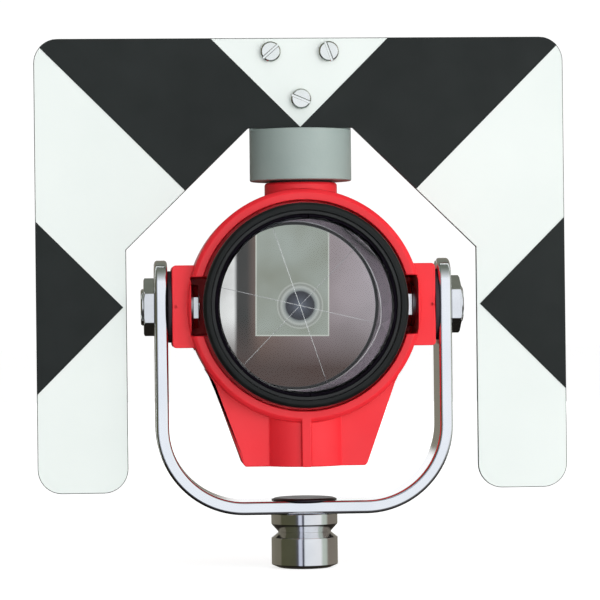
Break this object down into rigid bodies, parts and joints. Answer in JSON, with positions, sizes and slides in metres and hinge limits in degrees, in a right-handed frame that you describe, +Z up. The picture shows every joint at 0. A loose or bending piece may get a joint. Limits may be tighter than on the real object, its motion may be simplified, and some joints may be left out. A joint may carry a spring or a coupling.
{
  "type": "survey prism",
  "caption": "Tilting survey prism in a red holder with a U-shaped chrome yoke, a threaded pole socket and a black and white sighting target plate.",
  "frame": {"origin": "centre of the pole socket's bottom face, on the axis of its thread", "axes": "+Z up the pole, -Y the way the prism looks, +X to the right for somebody who faces the prism"},
  "size_m": [0.1856, 0.0606, 0.1852],
  "materials": {
    "polished_chrome": "polished, mirror bright",
    "turned_chrome": "bright plated over turned steel",
    "dark_steel": "blackened",
    "red_plastic": "glossy moulded",
    "steel": "plain turned",
    "nylon": "black, satin",
    "friction_fibre": "dull pressed fibre",
    "nut_plating": "bright plated",
    "seal_rubber": "brown, dull",
    "black_plastic": "satin",
    "bumper_rubber": "satin",
    "black_anodised": "black anodised",
    "gasket_rubber": "dull",
    "prism_glass": "polished optical glass",
    "seat_rubber": "dull",
    "white_enamel": "satin white enamel on sheet aluminium",
    "black_film": "satin black film",
    "grey_plastic": "satin",
    "screw_plating": "nickel plated",
    "brass": "plain"
  },
  "bodies": {
    "yoke": {"yoke_fork": "polished_chrome", "pole_socket": "turned_chrome", "socket_nut": "dark_steel"},
    "holder": {"prism_holder": "red_plastic", "target_spigot": "steel", "swivel_washer": "nylon", "tilt_bolt_left": "turned_chrome", "tilt_bolt_right": "turned_chrome", "friction_washer_left": "friction_fibre", "friction_washer_right": "friction_fibre", "spring_washer_left": "steel", "spring_washer_right": "steel", "tilt_nut_left": "nut_plating", "tilt_nut_right": "nut_plating"},
    "seal": {"canister_seal": "seal_rubber"},
    "prism": {"prism_canister": "black_plastic", "bumper_ring": "bumper_rubber", "retaining_ring": "black_anodised", "front_gasket": "gasket_rubber", "glass_prism": "prism_glass", "rear_seat": "seat_rubber", "rear_cap": "black_plastic"},
    "target": {"target_plate": "white_enamel", "black_bands": "black_film", "black_side_panels": "black_film", "target_collar": "grey_plastic", "target_screws": "screw_plating", "screw_inserts": "brass", "collar_set_screw": "dark_steel"}
  },
  "joints": [
    {"name": "tilt", "type": "hinge", "parent": "yoke", "child": "holder", "pos_m": [0, 0, 0.0915], "axis": [1, 0, 0], "range_deg": [-145, 145]},
    {"name": "canister_feed", "type": "slide", "parent": "holder", "child": "seal", "axis": [0, -1, 0], "range_m": [0, 0.008]},
    {"name": "prism_unscrew", "type": "hinge", "parent": "seal", "child": "prism", "pos_m": [0, 0, 0.0915], "axis": [0, -1, 0], "range_deg": [0, 1440]},
    {"name": "target_swivel", "type": "hinge", "parent": "holder", "child": "target", "pos_m": [0, 0, 0.1435], "axis": [0, 0, 1], "range_deg": [0, 180]}
  ],
  "couplings": [
    {"joint": "canister_feed", "follows": "prism_unscrew", "m_per_rad": 0.0003183}
  ]
}
